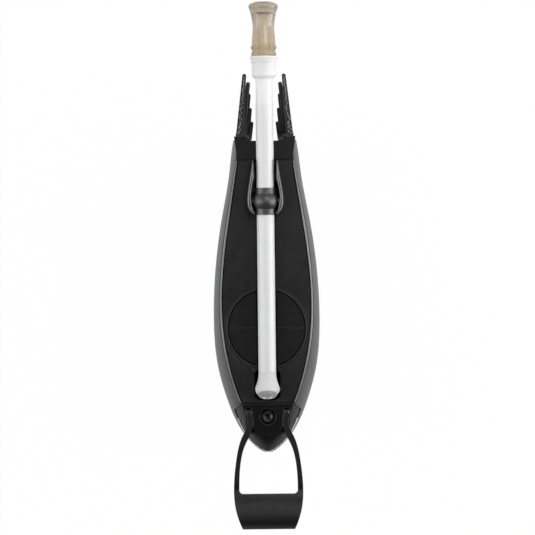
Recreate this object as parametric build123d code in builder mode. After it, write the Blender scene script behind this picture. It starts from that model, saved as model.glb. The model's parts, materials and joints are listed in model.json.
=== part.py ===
"""Streamlined drinks reservoir with a straw that swivels in a ball.

Millimetres. +Z is up out of the lid, +Y points to the bite valve, +X to the right.
The origin is the bottom centre of the whole part's box.
"""
import os

from build123d import *

os.makedirs("parts", exist_ok=True)

# ---------------------------------------------------------------- driving dimensions
# hull stations along Y: (y, half width, half height, height of the centre)
HULL = [
    (82.5, 20.6, 38.6, 68.6),
    (60.0, 23.7, 46.0, 63.0),
    (30.0, 29.1, 53.4, 61.4),
    (0.0, 33.2, 57.0, 60.0),
    (-34.0, 34.8, 56.9, 58.9),
    (-65.0, 32.5, 50.9, 56.0),
    (-88.0, 26.2, 39.4, 58.4),
    (-104.0, 19.2, 25.0, 66.0),
    (-115.0, 11.0, 13.0, 70.0),
    (-121.2, 2.4, 3.2, 73.0),
]
WALL = 2.4  # hull wall
RIM_Z = 86.0  # top of the shell and of the lid
DECK_Z = 76.0  # shelf under the nose cap
DECK = 2.5  # its thickness
SEAM_Y = -89.2  # joint between lid and nose cap
BULKHEAD_Y = 77.5  # outer face of the end wall
FIT = 0.25  # clearance of parts that are set in
SLIM = 0.15  # close clearance
STRAW_GAP = 0.4  # clearance of grooves under the straw
BALL_GAP = 0.3  # clearance round the swivel ball

LID = 3.0  # lid thickness
LID_FRONT = 72.5  # lid's front edge
LID_FRONT_HALF = 17.2
LID_REAR_HALF = 16.6
LID_MID_Y = -30.0  # widest place of the lid
LID_MID_HALF = 28.8
LEDGE = 3.5  # width of the shelf that carries the lid
LEDGE_H = 2.2
GASKET_H = 0.8
GASKET_IN = 2.8  # gasket's inner edge, from the lid's edge

AXIS_ABOVE = 4.5  # straw axis above the lid
BALL_Y = 42.1  # centre of the swivel ball
BALL_R = 8.3
COLLAR_R = 6.65  # short tubes at both ends of the ball
COLLAR_L = 8.7
TRUNNION_R = 2.5
TRUNNION_X = 10.7  # where the ball's side pins end
RUN = 0.05  # running clearance of shafts

TUBE_R = 5.7
TUBE_BORE = 4.6
TUBE_TOP = 104.8
TUBE_END = -68.7
FOOT_R = 7.95  # widest place of the straw's foot
FOOT_Y = -80.3
FOOT_END = -86.3
FOOT_BORE = 3.4
FOOT_NECK = 0.9  # how much narrower it is halfway up its neck
FOOT_NECK_Y = -76.4
FOOT_SHOULDER = 1.5  # how far its rounded end has drawn in halfway down
MOUTH = 1.7  # middle of the slanted mouth, from the foot's end
MOUTH_SLANT = 0.55
SPIGOT = 8.0  # how far the foot's and the adapter's spigots go in
RING_R = 6.9  # seal ring in the ball
RING_H = 2.0

ADAPTER_BORE = 2.6
ADAPTER_TAIL = 6.0  # how much longer its spigot is than the foot's
ADAPTER_NECK_R = 5.45
ADAPTER_NECK_END = 121.1
ADAPTER_R = 7.9
ADAPTER_CONE_END = 123.7
BAND_R = 8.35  # raised band under the rim
BAND_Y = 132.1
ADAPTER_RIM_R = 8.85
ADAPTER_RIM_Y = 134.4
ADAPTER_RIM = 136.2
SOCKET_R = 6.2  # adapter's socket for the bite valve
SOCKET_FLOOR = 126.0
O_RING = 1.2  # O-ring at the bottom of the valve's spigot
O_RING_W = 1.8

VALVE_BORE = 3.0
SKIRT_R = 8.1  # valve's lowest ring
SKIRT_END = 138.5
GROOVE = 0.7  # groove between skirt and rib
GROOVE_Y = 139.4
RIB_R = 8.45
RIB_Y = 141.9
RIB_HALF = 1.2
VALVE_FOOT_R = 7.8  # valve's body just above the rib
VALVE_LOW_R = 7.5
VALVE_LOW_Y = 148.2
VALVE_NECK_R = 7.05  # narrowest place
VALVE_NECK_Y = 153.6
VALVE_HIGH_R = 7.7
VALVE_HIGH_Y = 161.4
FLARE_R = 9.35  # flared lip
FLARE_Y = 167.5
LIP_R = 9.5
LIP_Y = 168.7
LIP_END_R = 8.75
LIP_END_Y = 170.1
VALVE_TOP = 171.3
CUP_R = 6.4
CUP_TAPER = 0.6
CUP_FLOOR = 165.0
CUP_CONE = 1.5

SLOT_HALF = 6.3  # slot that the straw swings down through
KEY_HALF = 8.5  # wider end of that slot, for the foot
KEY_TOP = -66.0
KEY_END = -87.2
KEY_CORNER = 5.0

PORT_Y = -40.3
PORT_R = 25.0  # clear radius of the port
PORT_RIM = 26.9  # outer radius of its frame
PORT_H = 1.6  # thickness of frame and flaps
FLAP_GAP = 0.35
FLAP_HINGE_X = 20.0
FLAP_SLIT = 0.3

CRADLE_WALL = 2.3
CRADLE_H = 4.2  # cradle wall above the straw axis
FLANGE = 1.5  # flange under the lid
FLANGE_HALF = 13.8
FLANGE_Y = (27.0, 65.0)
SCREW_X = 12.0
SCREW_Y = (30.2, 61.5)
SMALL_R = 1.0
SMALL_HEAD = 1.9

LIP_H = 1.8  # collar's lip above the lid
LIP_REAR = 69.4
LIP_IN_Y = 81.1
LIP_OUT_Y = 84.7
LIP_OUT_X = 19.9
PLATE_FRONT = 81.0  # front face of the collar's plate
PLATE_INSET = 1.8  # shell wall left round that plate

PIVOT_X = 10.5  # fin comb's pivot
PIVOT_Y = 80.6
SPINE_R = 1.8
PIVOT_PIN_R = 1.0
PIVOT_PIN = 1.4  # length of the end pins
PIN_LEDGE = 2.0  # ledge that carries the lower pins
COMB_TOP = 83.6
FIN_H = 7.0
FIN_PITCH = 8.3
FIN_ROOT_Y = 83.9
WEB = 2.6
FIN_ROOT_IN = 14.3  # inner edge of the top fin at its root
FIN_STEP = 1.43  # each lower fin's root lies this much further in
FIN_ROOT_W = 4.55
FIN_TIP_W = 2.5
FIN_TIPS = [(125.3, 11.5), (120.4, 9.05), (113.3, 8.8), (104.3, 8.1), (95.6, 7.2)]

CAP_TOP = 86.6
CAP_Y = -97.8  # cap screw
RECESS_R = 5.1
RECESS = 5.0
HEAD_R = 3.6
HEAD_H = 3.6
SHANK_R = 2.0
HEX = 3.0  # socket across flats
HEX_DEPTH = 2.2
WASHER_H = 0.8
INSERT_R = 2.8
INSERT_L = 9.0
BOSS_R = 6.5
BOSS_L = 15.0

STRAP_Z = 84.0  # middle of the strap's arms
STRAP_T = 5.0
STRAP_PIN_Y = -95.0
STRAP_PIN_R = 1.5
STRAP_PIN_IN = 7.5  # the pins run from here
STRAP_PIN_OUT = 15.5  # to here
STRAP_IN = 10.0  # inner side of the arms at their root
STRAP_ARM = 3.5
STRAP_ROOT_IN = 11.2  # inner side of the arms at their very end, where they taper
STRAP_BEND_Y = -100.0  # arms run outwards from here
GRIP_Y = -148.0  # front edge of the grip pad
GRIP_WINDOW = 16.6  # half width of the straight part of that edge
GRIP_CORNER = 2.4
GRIP_END_HALF = 17.0
GRIP_RISE = 2.6  # the grip is bowed like a saddle
GRIP_CREST_Y = -159.5
GRIP_DROP = 5.0
STRAP_END = -171.3
CHANNEL = 0.5  # clearance round the strap in the nose cap

BASE_BOSS = 9.0  # flat-bottomed boss that carries the rubber foot
PAD = 3.0  # rubber foot
PAD_LENGTH = 96.0
PAD_WIDTH = 28.0
PAD_Y = -16.0

# ---------------------------------------------------------------- derived values
LID_BOTTOM = RIM_Z - LID
LEDGE_TOP = LID_BOTTOM - GASKET_H
STRAW_Z = RIM_Z + AXIS_ABOVE
LID_REAR = SEAM_Y + FIT
STRAW_AXIS = Axis((0, 0, STRAW_Z), (0, 1, 0))
STRAW_PLANE = Plane.XY.offset(STRAW_Z)
RECESS_FLOOR = CAP_TOP - RECESS
CRADLE_TOP = STRAW_Z + CRADLE_H
TALL = 60.0  # reach of cuts that run right out


def save(part, name):
    """Label a finished piece and write it."""
    part.label = name
    export_step(part, f"parts/{name}.step")
    return part


def station(y, z):
    """Plane across the hull at y, its local y up."""
    return Plane(origin=(0, y, z), x_dir=(1, 0, 0), z_dir=(0, -1, 0))


def hull_loft(inset):
    """The hull's smooth body, drawn in by inset all round."""
    with BuildPart() as body:
        for y, half, high, centre in HULL:
            if high > 3 * inset:
                with BuildSketch(station(y, centre)):
                    Ellipse(half - inset, high - inset)
        loft()
    return body.part


def lid_outline(inset):
    """Half-symmetric outline of the lid, drawn in by inset."""
    front = LID_FRONT - inset
    rear = LID_REAR + inset
    with BuildSketch() as face:
        with BuildLine():
            Spline(
                (LID_FRONT_HALF - inset, front),
                (22.7 - inset, 36.0),
                (LID_MID_HALF - inset, LID_MID_Y),
                (24.2 - inset, -65.5),
                (LID_REAR_HALF - inset, rear),
            )
            Line((LID_REAR_HALF - inset, rear), (0, rear))
            Line((0, rear), (0, front))
            Line((0, front), (LID_FRONT_HALF - inset, front))
        make_face()
        mirror(about=Plane.YZ)
    return face.sketch


def slot_outline():
    """The slot in the lid that the straw swings through."""
    with BuildSketch() as face:
        key_mid = (KEY_TOP + KEY_END) / 2
        with Locations((0, (BALL_Y + key_mid) / 2)):
            Rectangle(2 * SLOT_HALF, BALL_Y - key_mid)
        with Locations((0, key_mid)):
            RectangleRounded(2 * KEY_HALF, KEY_TOP - KEY_END, KEY_CORNER)
    return face.sketch


def seam_outline(gap):
    """Everything beyond the seam between lid and nose cap, set back by gap."""
    seam = SEAM_Y - gap
    with BuildSketch() as face:
        with BuildLine():
            Line((0, seam), (14.6, seam))
            Spline((14.6, seam), (19.0, seam - 1.6), (22.4, seam - 5.4), tangents=[(1, 0), (0.55, -1)])
            Polyline((22.4, seam - 5.4), (40, seam - 30), (40, -140), (0, -140), (0, seam))
        make_face()
        mirror(about=Plane.YZ)
    return face.sketch


def strap_outline(grow):
    """Arms and pad of the pull strap seen from above, grown by a clearance."""
    root = STRAP_PIN_Y + STRAP_T / 2 + grow
    outer = STRAP_IN + STRAP_ARM + grow
    inner = STRAP_IN - grow
    taper = STRAP_ROOT_IN - grow
    with BuildSketch() as face:
        with BuildLine():
            Line((taper, root), (outer, root))
            Line((outer, root), (outer, STRAP_BEND_Y))
            Spline(
                (outer, STRAP_BEND_Y),
                (17.2 + grow, -111.6),
                (21.0 + grow, -127.0),
                (22.5 + grow, -143.5),
                (20.9 + grow, -160.0),
                (GRIP_END_HALF, STRAP_END),
                tangents=[(0, -1), (-0.45, -1)],
            )
            Line((GRIP_END_HALF, STRAP_END), (0, STRAP_END))
            Line((0, STRAP_END), (0, GRIP_Y))
            window = GRIP_WINDOW - grow
            corner = (window + GRIP_CORNER, GRIP_Y + GRIP_CORNER)
            Line((0, GRIP_Y), (window, GRIP_Y))
            TangentArc((window, GRIP_Y), corner, tangent=(1, 0))
            Spline(
                corner,
                (18.5 - grow, -132.4),
                (15.2 - grow, -116.8),
                (inner, STRAP_BEND_Y),
                tangents=[(0, 1), (0, 1)],
            )
            Line((inner, STRAP_BEND_Y), (taper, root))
        make_face()
        mirror(about=Plane.YZ)
    return face.sketch


# ---------------------------------------------------------------- reservoir shell
cavity_loft = hull_loft(WALL)
with BuildPart() as reservoir_cavity:
    add(cavity_loft)
    split(bisect_by=station(BULKHEAD_Y - WALL, 0), keep=Keep.TOP)
    with BuildSketch(Plane.XY.offset(DECK_Z - DECK)):
        with Locations((0, SEAM_Y + WALL - DECK - 40)):
            Rectangle(2 * TALL, 80)
    extrude(amount=TALL, mode=Mode.SUBTRACT)

with BuildPart() as foot_boss:
    with BuildSketch(Plane.XY.offset(PAD)):
        with Locations((0, PAD_Y)):
            RectangleRounded(PAD_WIDTH, PAD_LENGTH, PAD_WIDTH / 2 - 0.01)
    extrude(amount=BASE_BOSS)

with BuildPart() as lid_shelf:
    add(hull_loft(WALL / 2))
    with BuildSketch(Plane.XY.offset(LEDGE_TOP - LEDGE_H)):
        add(lid_outline(-WALL))
        add(lid_outline(LEDGE), mode=Mode.SUBTRACT)
    extrude(amount=LEDGE_H, mode=Mode.INTERSECT)

with BuildPart() as reservoir_shell:
    add(hull_loft(0))
    split(bisect_by=Plane.XY.offset(RIM_Z), keep=Keep.BOTTOM)
    split(bisect_by=Plane.XY.offset(PAD), keep=Keep.TOP)
    add(foot_boss.part)
    # room for the end collar's plate
    with BuildSketch(station(BULKHEAD_Y, HULL[0][3])):
        Ellipse(HULL[0][1] - PLATE_INSET, HULL[0][2] - PLATE_INSET)
    extrude(amount=-10, mode=Mode.SUBTRACT)
    add(reservoir_cavity.part, mode=Mode.SUBTRACT)
    # shelf that carries the lid, the opening above it and the slot through it
    add(lid_shelf.part)
    with BuildSketch(Plane.XY.offset(LEDGE_TOP - LEDGE_H)):
        add(lid_outline(LEDGE))
    extrude(amount=TALL, mode=Mode.SUBTRACT)
    with BuildSketch(Plane.XY.offset(DECK_Z)):
        add(seam_outline(0))
    extrude(amount=TALL, mode=Mode.SUBTRACT)
    with BuildSketch(Plane.XY.offset(LEDGE_TOP)):
        add(lid_outline(-FIT))
    extrude(amount=TALL, mode=Mode.SUBTRACT)
    with BuildSketch(Plane.XY.offset(LEDGE_TOP - LEDGE_H)):
        add(slot_outline())
    extrude(amount=TALL, mode=Mode.SUBTRACT)
    # boss for the cap screw's insert
    with BuildSketch(Plane.XY.offset(DECK_Z)):
        with Locations((0, CAP_Y)):
            Circle(BOSS_R)
    extrude(amount=-BOSS_L)
    with BuildSketch(Plane.XY.offset(DECK_Z)):
        with Locations((0, CAP_Y)):
            Circle(INSERT_R)
    extrude(amount=-INSERT_L, mode=Mode.SUBTRACT)
    # groove under the straw across the end wall
    with BuildSketch(station(HULL[0][0] + 1, STRAW_Z)):
        Circle(TUBE_R + STRAW_GAP)
    extrude(amount=12, mode=Mode.SUBTRACT)
save(reservoir_shell.part, "reservoir_shell")

with BuildPart() as base_pad:
    with BuildSketch(Plane.XY):
        with Locations((0, PAD_Y)):
            RectangleRounded(PAD_WIDTH, PAD_LENGTH, PAD_WIDTH / 2 - 0.01)
    extrude(amount=PAD)
    chamfer(base_pad.faces().sort_by(Axis.Z)[0].edges(), length=0.8)
save(base_pad.part, "base_pad")

# ---------------------------------------------------------------- lid and its gasket
def cradle_outline(grow):
    """Tulip-shaped plan of the ball cradle."""
    with BuildSketch() as face:
        with BuildLine():
            Spline(
                (8.3 + grow, 69.0),
                (10.1 + grow, 56.5),
                (11.8 + grow, BALL_Y + 1.0),
                (10.6 + grow, 36.8),
                (7.8, 33.2 - grow),
                tangents=[(0.1, -1), (-0.8, -0.8)],
            )
            Line((7.8, 33.2 - grow), (0, 33.2 - grow))
            Line((0, 33.2 - grow), (0, 69.0))
            Line((0, 69.0), (8.3 + grow, 69.0))
        make_face()
        mirror(about=Plane.YZ)
    return face.sketch


with BuildPart() as lid_cover:
    with BuildSketch(Plane.XY.offset(LID_BOTTOM)):
        add(lid_outline(0))
    extrude(amount=LID)
    chamfer(lid_cover.faces().sort_by(Axis.Z)[-1].edges(), length=0.5)
    with BuildSketch(Plane.XY.offset(LID_BOTTOM)):
        add(slot_outline())
        add(cradle_outline(SLIM))
        with Locations((0, PORT_Y)):
            Circle(PORT_R + 0.2)
    extrude(amount=TALL, mode=Mode.SUBTRACT)
    with BuildSketch(Plane.XY.offset(RIM_Z - PORT_H)):
        with Locations((0, PORT_Y)):
            Circle(PORT_RIM + SLIM)
    extrude(amount=TALL, mode=Mode.SUBTRACT)
    # groove under the straw, ahead of the cradle
    with BuildSketch(station(LID_FRONT + 1, STRAW_Z)):
        Circle(TUBE_R + STRAW_GAP)
    extrude(amount=12, mode=Mode.SUBTRACT)
    # blind holes for the cradle's screws
    with BuildSketch(Plane.XY.offset(LID_BOTTOM)):
        for y in SCREW_Y:
            with Locations((-SCREW_X, y), (SCREW_X, y)):
                Circle(SMALL_R)
    extrude(amount=LID - 0.8, mode=Mode.SUBTRACT)
save(lid_cover.part, "lid_cover")

with BuildPart() as lid_gasket:
    with BuildSketch(Plane.XY.offset(LEDGE_TOP)):
        add(lid_outline(0.3))
        add(lid_outline(GASKET_IN), mode=Mode.SUBTRACT)
        add(slot_outline(), mode=Mode.SUBTRACT)
    extrude(amount=GASKET_H)
save(lid_gasket.part, "lid_gasket")

# ---------------------------------------------------------------- ball cradle
with BuildPart() as ball_cradle:
    with BuildSketch(Plane.XY.offset(LID_BOTTOM)):
        add(cradle_outline(0))
    extrude(amount=CRADLE_TOP - LID_BOTTOM)
    chamfer(ball_cradle.faces().sort_by(Axis.Z)[-1].edges(), length=0.6)
    # hollow between the two raised walls
    with BuildSketch(Plane.XY.offset(RIM_Z - 1.8)):
        add(cradle_outline(-CRADLE_WALL))
        with Locations((0, 68)):
            Rectangle(2 * (8.3 - 0.7), 20)
    extrude(amount=TALL, mode=Mode.SUBTRACT)
    # flange under the lid
    with BuildSketch(Plane.XY.offset(LID_BOTTOM)):
        with Locations((0, sum(FLANGE_Y) / 2)):
            RectangleRounded(2 * FLANGE_HALF, FLANGE_Y[1] - FLANGE_Y[0], 3)
    extrude(amount=-FLANGE)
    with BuildSketch(Plane.XY.offset(LID_BOTTOM - FLANGE)):
        for y in SCREW_Y:
            with Locations((-SCREW_X, y), (SCREW_X, y)):
                Circle(SMALL_R)
    extrude(amount=FLANGE, mode=Mode.SUBTRACT)
    # way for the straw: swing slot behind the ball, groove ahead of it
    with BuildSketch(Plane.XY.offset(LID_BOTTOM - FLANGE)):
        add(slot_outline())
        with Locations((0, BALL_Y - 6)):
            Rectangle(2 * (COLLAR_R + FIT), 12)
    extrude(amount=TALL, mode=Mode.SUBTRACT)
    with BuildSketch(station(72, STRAW_Z)):
        Circle(TUBE_R + STRAW_GAP)
    extrude(amount=30, mode=Mode.SUBTRACT)
    with BuildSketch(station(BALL_Y + COLLAR_L + 0.5, STRAW_Z)):
        Circle(COLLAR_R + FIT)
    extrude(amount=COLLAR_L + 0.5, mode=Mode.SUBTRACT)
    with Locations((0, BALL_Y, STRAW_Z)):
        Sphere(BALL_R + BALL_GAP, mode=Mode.SUBTRACT)
    # blind seats of the ball's side pins
    with BuildSketch(Plane(origin=(0, BALL_Y, STRAW_Z), x_dir=(0, 1, 0), z_dir=(1, 0, 0))):
        Circle(TRUNNION_R + RUN)
    extrude(amount=TRUNNION_X + 0.1, both=True, mode=Mode.SUBTRACT)
save(ball_cradle.part, "ball_cradle")

with BuildPart() as cradle_screws:
    with BuildSketch(Plane.XY.offset(LID_BOTTOM - FLANGE)):
        for y in SCREW_Y:
            with Locations((-SCREW_X, y), (SCREW_X, y)):
                Circle(SMALL_HEAD)
    extrude(amount=-1.2)
    with BuildSketch(Plane.XY.offset(LID_BOTTOM - FLANGE)):
        for y in SCREW_Y:
            with Locations((-SCREW_X, y), (SCREW_X, y)):
                Circle(SMALL_R)
    extrude(amount=FLANGE + LID - 1.0)
save(cradle_screws.part, "cradle_screws")

# ---------------------------------------------------------------- swivel ball and its seal
with BuildPart() as swivel_ball:
    with Locations((0, BALL_Y, STRAW_Z)):
        Sphere(BALL_R)
    with BuildSketch(station(BALL_Y + COLLAR_L, STRAW_Z)):
        Circle(COLLAR_R)
    extrude(amount=2 * COLLAR_L)
    with BuildSketch(Plane(origin=(0, BALL_Y, STRAW_Z), x_dir=(0, 1, 0), z_dir=(1, 0, 0))):
        Circle(TRUNNION_R)
    extrude(amount=TRUNNION_X, both=True)
    with BuildSketch(station(BALL_Y + COLLAR_L, STRAW_Z)):
        Circle(TUBE_R + RUN)
    extrude(amount=2 * COLLAR_L, mode=Mode.SUBTRACT)
    with BuildSketch(station(BALL_Y + RING_H / 2, STRAW_Z)):
        Circle(RING_R)
    extrude(amount=RING_H, mode=Mode.SUBTRACT)
save(swivel_ball.part, "swivel_ball")

with BuildPart() as ball_seal_ring:
    with BuildSketch(station(BALL_Y + RING_H / 2, STRAW_Z)):
        Circle(RING_R)
        Circle(TUBE_R + 0.02, mode=Mode.SUBTRACT)
    extrude(amount=RING_H)
save(ball_seal_ring.part, "ball_seal_ring")

# ---------------------------------------------------------------- straw, adapter, bite valve
with BuildPart() as straw_tube:
    with BuildSketch(station(TUBE_TOP, STRAW_Z)):
        Circle(TUBE_R)
        Circle(TUBE_BORE, mode=Mode.SUBTRACT)
    extrude(amount=TUBE_TOP - TUBE_END)
save(straw_tube.part, "straw_tube")

with BuildPart() as straw_foot:
    with BuildSketch(STRAW_PLANE):
        with BuildLine():
            Polyline(
                (FOOT_BORE, TUBE_END + SPIGOT),
                (TUBE_BORE, TUBE_END + SPIGOT),
                (TUBE_BORE, TUBE_END),
                (TUBE_R, TUBE_END),
            )
            Spline(
                (TUBE_R, TUBE_END),
                (FOOT_R - FOOT_NECK, FOOT_NECK_Y),
                (FOOT_R, FOOT_Y),
                (FOOT_R - FOOT_SHOULDER, (FOOT_Y + FOOT_END) / 2),
                (FOOT_BORE, FOOT_END),
                tangents=[(0, -1), (-1, -0.4)],
            )
            Line((FOOT_BORE, FOOT_END), (FOOT_BORE, TUBE_END + SPIGOT))
        make_face()
    revolve(axis=STRAW_AXIS)
    # slanted mouth
    mouth_plane = Plane(origin=(0, FOOT_END + MOUTH, STRAW_Z), x_dir=(1, 0, 0), z_dir=(0, -1, MOUTH_SLANT))
    with BuildSketch(mouth_plane):
        Rectangle(TALL, TALL)
    extrude(amount=TALL / 2, mode=Mode.SUBTRACT)
save(straw_foot.part, "straw_foot")

with BuildPart() as valve_adapter:
    with BuildSketch(STRAW_PLANE):
        with BuildLine():
            Polyline(
                (ADAPTER_BORE, TUBE_TOP - SPIGOT - ADAPTER_TAIL),
                (TUBE_BORE, TUBE_TOP - SPIGOT - ADAPTER_TAIL),
                (TUBE_BORE, TUBE_TOP),
                (ADAPTER_NECK_R, TUBE_TOP),
                (ADAPTER_NECK_R, ADAPTER_NECK_END),
                (ADAPTER_R, ADAPTER_CONE_END),
                (ADAPTER_R, BAND_Y),
                (BAND_R, BAND_Y),
                (BAND_R, ADAPTER_RIM_Y),
                (ADAPTER_RIM_R, ADAPTER_RIM_Y),
                (ADAPTER_RIM_R, ADAPTER_RIM),
                (SOCKET_R, ADAPTER_RIM),
                (SOCKET_R, SOCKET_FLOOR),
                (ADAPTER_BORE, SOCKET_FLOOR),
                close=True,
            )
        make_face()
    revolve(axis=STRAW_AXIS)
save(valve_adapter.part, "valve_adapter")

with BuildPart() as adapter_o_ring:
    with BuildSketch(station(SOCKET_FLOOR + O_RING, STRAW_Z)):
        Circle(SOCKET_R)
        Circle(SOCKET_R - O_RING_W, mode=Mode.SUBTRACT)
    extrude(amount=O_RING)
save(adapter_o_ring.part, "adapter_o_ring")

with BuildPart() as bite_valve:
    with BuildSketch(STRAW_PLANE):
        with BuildLine():
            Polyline(
                (VALVE_BORE, SOCKET_FLOOR + O_RING),
                (SOCKET_R, SOCKET_FLOOR + O_RING),
                (SOCKET_R, ADAPTER_RIM),
                (SKIRT_R, ADAPTER_RIM),
                (SKIRT_R, SKIRT_END),
                (SKIRT_R - GROOVE, GROOVE_Y),
                (VALVE_FOOT_R, RIB_Y - RIB_HALF),
            )
            ThreePointArc(
                (VALVE_FOOT_R, RIB_Y - RIB_HALF), (RIB_R, RIB_Y), (VALVE_FOOT_R, RIB_Y + RIB_HALF)
            )
            Spline(
                (VALVE_FOOT_R, RIB_Y + RIB_HALF),
                (VALVE_LOW_R, VALVE_LOW_Y),
                (VALVE_NECK_R, VALVE_NECK_Y),
                (VALVE_HIGH_R, VALVE_HIGH_Y),
                (FLARE_R, FLARE_Y),
                tangents=[(-0.05, 1), (0.4, 1)],
            )
            ThreePointArc((FLARE_R, FLARE_Y), (LIP_R, LIP_Y), (LIP_END_R, LIP_END_Y))
            Polyline(
                (LIP_END_R, LIP_END_Y),
                (CUP_R, VALVE_TOP),
                (CUP_R - CUP_TAPER, CUP_FLOOR),
                (VALVE_BORE, CUP_FLOOR - CUP_CONE),
                (VALVE_BORE, SOCKET_FLOOR + O_RING),
            )
        make_face()
    revolve(axis=STRAW_AXIS)
save(bite_valve.part, "bite_valve")

# ---------------------------------------------------------------- refill port
with BuildPart() as port_frame:
    with BuildSketch(Plane.XY.offset(RIM_Z - PORT_H)):
        with Locations((0, PORT_Y)):
            Circle(PORT_RIM)
            Circle(PORT_R, mode=Mode.SUBTRACT)
    extrude(amount=PORT_H)
    # fixed side segments that the flaps fold from
    with BuildSketch(Plane.XY.offset(RIM_Z - PORT_H)):
        with Locations((0, PORT_Y)):
            Circle(PORT_R + 0.5)
            Rectangle(2 * FLAP_HINGE_X, 2 * PORT_R + 4, mode=Mode.SUBTRACT)
    extrude(amount=PORT_H)
    with BuildSketch(Plane.XY.offset(RIM_Z - PORT_H)):
        with Locations((0, PORT_Y)):
            Rectangle(2 * SLOT_HALF, 2 * PORT_RIM + 4)
    extrude(amount=PORT_H, mode=Mode.SUBTRACT)
save(port_frame.part, "port_frame")

for number, (side, end) in enumerate([(-1, 1), (1, 1), (-1, -1), (1, -1)], start=1):
    width = FLAP_HINGE_X - RUN - SLOT_HALF - FLAP_GAP
    with BuildPart() as port_flap:
        with BuildSketch(Plane.XY.offset(RIM_Z - PORT_H)):
            with Locations((0, PORT_Y)):
                Circle(PORT_R - FLAP_GAP)
            corner_x = side * (SLOT_HALF + FLAP_GAP + width / 2)
            corner_y = PORT_Y + end * (FLAP_SLIT / 2 + PORT_R / 2)
            with Locations((corner_x, corner_y)):
                Rectangle(width, PORT_R, mode=Mode.INTERSECT)
        extrude(amount=PORT_H)
    save(port_flap.part, f"port_flap_{number}")

# ---------------------------------------------------------------- end collar
with BuildPart() as end_collar:
    with BuildSketch(Plane.XY.offset(RIM_Z)):
        with BuildLine():
            Line((0, LIP_REAR), (17.0, LIP_REAR))
            Spline((17.0, LIP_REAR), (18.9, 76.5), (LIP_OUT_X, LIP_OUT_Y), tangents=[(0.55, 1), (0.05, 1)])
            Line((LIP_OUT_X, LIP_OUT_Y), (TUBE_R + 0.3, LIP_IN_Y))
            Line((TUBE_R + 0.3, LIP_IN_Y), (0, LIP_IN_Y))
            Line((0, LIP_IN_Y), (0, LIP_REAR))
        make_face()
        mirror(about=Plane.YZ)
    extrude(amount=LIP_H)
    # plate let into the shell's end, closing the gap above the combs
    with BuildSketch(station(PLATE_FRONT, HULL[0][3])):
        Ellipse(HULL[0][1] - PLATE_INSET - SLIM, HULL[0][2] - PLATE_INSET - SLIM)
        with Locations((0, RIM_Z - HULL[0][3] + TALL / 2)):
            Rectangle(TALL, TALL, mode=Mode.SUBTRACT)
    extrude(amount=PLATE_FRONT - BULKHEAD_Y)
    # bottom ledge that carries the combs' lower pins
    comb_bottom = COMB_TOP - 4 * FIN_PITCH - FIN_H
    with BuildSketch(Plane.XY.offset(comb_bottom - 0.3)):
        with Locations((0, PIVOT_Y)):
            Rectangle(2 * (PIVOT_X + 1.6), 5.4)
    extrude(amount=-PIN_LEDGE)
    # knuckle seats and pin holes
    with BuildSketch(Plane.XY.offset(comb_bottom - 0.3)):
        with Locations((-PIVOT_X, PIVOT_Y), (PIVOT_X, PIVOT_Y)):
            Circle(SPINE_R + 0.1)
    extrude(amount=COMB_TOP + 0.3 - comb_bottom + 0.3, mode=Mode.SUBTRACT)
    with BuildSketch(Plane.XY.offset(comb_bottom - PIVOT_PIN - 0.2)):
        with Locations((-PIVOT_X, PIVOT_Y), (PIVOT_X, PIVOT_Y)):
            Circle(PIVOT_PIN_R + RUN)
    extrude(amount=COMB_TOP - comb_bottom + 2 * PIVOT_PIN + 0.4, mode=Mode.SUBTRACT)
    # way for the straw
    with BuildSketch(station(LIP_OUT_Y + 1, STRAW_Z)):
        Circle(TUBE_R + 0.3)
        with Locations((0, TALL / 2)):
            Rectangle(2 * (TUBE_R + 0.3), TALL)
    extrude(amount=20, mode=Mode.SUBTRACT)
save(end_collar.part, "end_collar")

# ---------------------------------------------------------------- fin combs
with BuildPart() as right_fin_comb:
    comb_height = 4 * FIN_PITCH + FIN_H
    with BuildSketch(Plane.XY.offset(COMB_TOP - comb_height)):
        with Locations((PIVOT_X, PIVOT_Y)):
            Circle(SPINE_R)
    extrude(amount=comb_height)
    with BuildSketch(Plane.XY.offset(COMB_TOP - comb_height - PIVOT_PIN)):
        with Locations((PIVOT_X, PIVOT_Y)):
            Circle(PIVOT_PIN_R)
    extrude(amount=comb_height + 2 * PIVOT_PIN)
    with BuildSketch(Plane.XY.offset(COMB_TOP - comb_height)):
        with Locations((PIVOT_X, (PIVOT_Y + FIN_ROOT_Y + 1) / 2)):
            Rectangle(2 * SPINE_R - 0.6, FIN_ROOT_Y + 1 - PIVOT_Y)
    extrude(amount=comb_height)
    for level, (tip_y, tip_in) in enumerate(FIN_TIPS):
        root_in = FIN_ROOT_IN - level * FIN_STEP
        root_out = root_in + FIN_ROOT_W
        fin_top = COMB_TOP - level * FIN_PITCH
        web_in = min(root_in, PIVOT_X - SPINE_R)
        web_out = max(root_out, PIVOT_X + SPINE_R)
        web_h = FIN_PITCH if level < len(FIN_TIPS) - 1 else FIN_H
        with BuildSketch(Plane.XY.offset(fin_top - web_h)):
            with Locations(((web_in + web_out) / 2, FIN_ROOT_Y + WEB / 2)):
                Rectangle(web_out - web_in, WEB)
        extrude(amount=web_h)
        with BuildSketch(Plane.XY.offset(fin_top - FIN_H)) as fin_face:
            with BuildLine():
                Polyline(
                    (root_in, FIN_ROOT_Y),
                    (root_out, FIN_ROOT_Y),
                    (tip_in + FIN_TIP_W, tip_y),
                    (tip_in, tip_y),
                    close=True,
                )
            make_face()
            fillet(fin_face.vertices().group_by(Axis.Y)[-1], radius=FIN_TIP_W * 0.42)
        extrude(amount=FIN_H)
save(right_fin_comb.part, "right_fin_comb")

with BuildPart() as left_fin_comb:
    add(mirror(right_fin_comb.part, about=Plane.YZ, mode=Mode.PRIVATE))
save(left_fin_comb.part, "left_fin_comb")

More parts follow.
